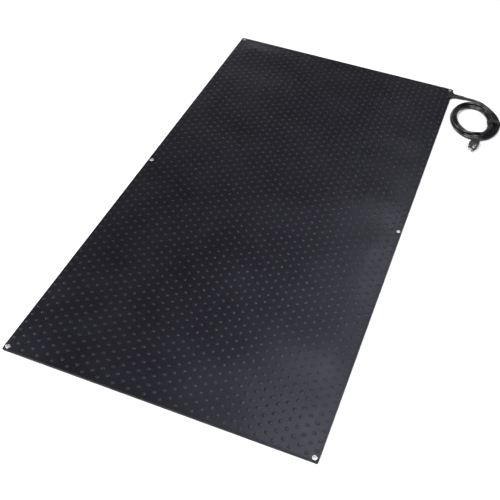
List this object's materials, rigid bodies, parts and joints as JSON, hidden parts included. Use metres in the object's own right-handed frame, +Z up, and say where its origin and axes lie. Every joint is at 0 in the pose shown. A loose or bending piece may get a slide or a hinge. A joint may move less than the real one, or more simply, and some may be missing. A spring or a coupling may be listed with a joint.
{
  "type": "seedling heat mat",
  "caption": "Thin rectangular rubber heating mat with raised studs on top, metal eyelets along its long edges and a coiled power cord at one corner.",
  "frame": {"origin": "centre of the mat's underside, without the cord", "axes": "+Y along the mat's length towards the end that the cord is near, +X across it towards the side that the cord leaves from, +Z up out of the studded face"},
  "size_m": [0.7659, 1.22, 0.019],
  "materials": {
    "rubber": "satin black moulded rubber with small raised studs",
    "scrim": "open woven glass-fibre scrim",
    "wire_insulation": "dull brick-red silicone insulation on a resistance wire",
    "foil": "thin aluminium foil",
    "tinned_copper": "tinned copper",
    "lead_black": "black PVC insulation",
    "lead_white": "white PVC insulation",
    "lead_green": "green PVC insulation",
    "nickel": "nickel-plated brass",
    "moulded_pvc": "black moulded PVC with a fine matt grain",
    "cord_pvc": "smooth semi-gloss black PVC",
    "strap": "black hook-and-loop tape",
    "insert": "dark grey moulded plastic",
    "blade": "nickel-plated brass"
  },
  "bodies": {
    "root": {"base_sheet": "rubber", "top_sheet": "rubber", "wire_carrier": "scrim", "heating_wire": "wire_insulation", "ground_screen": "foil", "live_lead": "lead_black", "neutral_lead": "lead_white", "ground_lead": "lead_green", "live_splice": "tinned_copper", "neutral_splice": "tinned_copper", "ground_tab": "tinned_copper", "eyelet_1": "nickel", "eyelet_2": "nickel", "eyelet_3": "nickel", "eyelet_4": "nickel", "eyelet_5": "nickel", "eyelet_6": "nickel", "eyelet_washer_1": "nickel", "eyelet_washer_2": "nickel", "eyelet_washer_3": "nickel", "eyelet_washer_4": "nickel", "eyelet_washer_5": "nickel", "eyelet_washer_6": "nickel", "strain_relief": "moulded_pvc", "cord_lead": "cord_pvc", "cord_coil": "cord_pvc", "cord_tail": "cord_pvc", "coil_tie": "strap", "plug_body": "moulded_pvc", "plug_insert": "insert", "plug_blade_live": "blade", "plug_blade_neutral": "blade", "plug_ground_pin": "blade"}
  },
  "joints": []
}
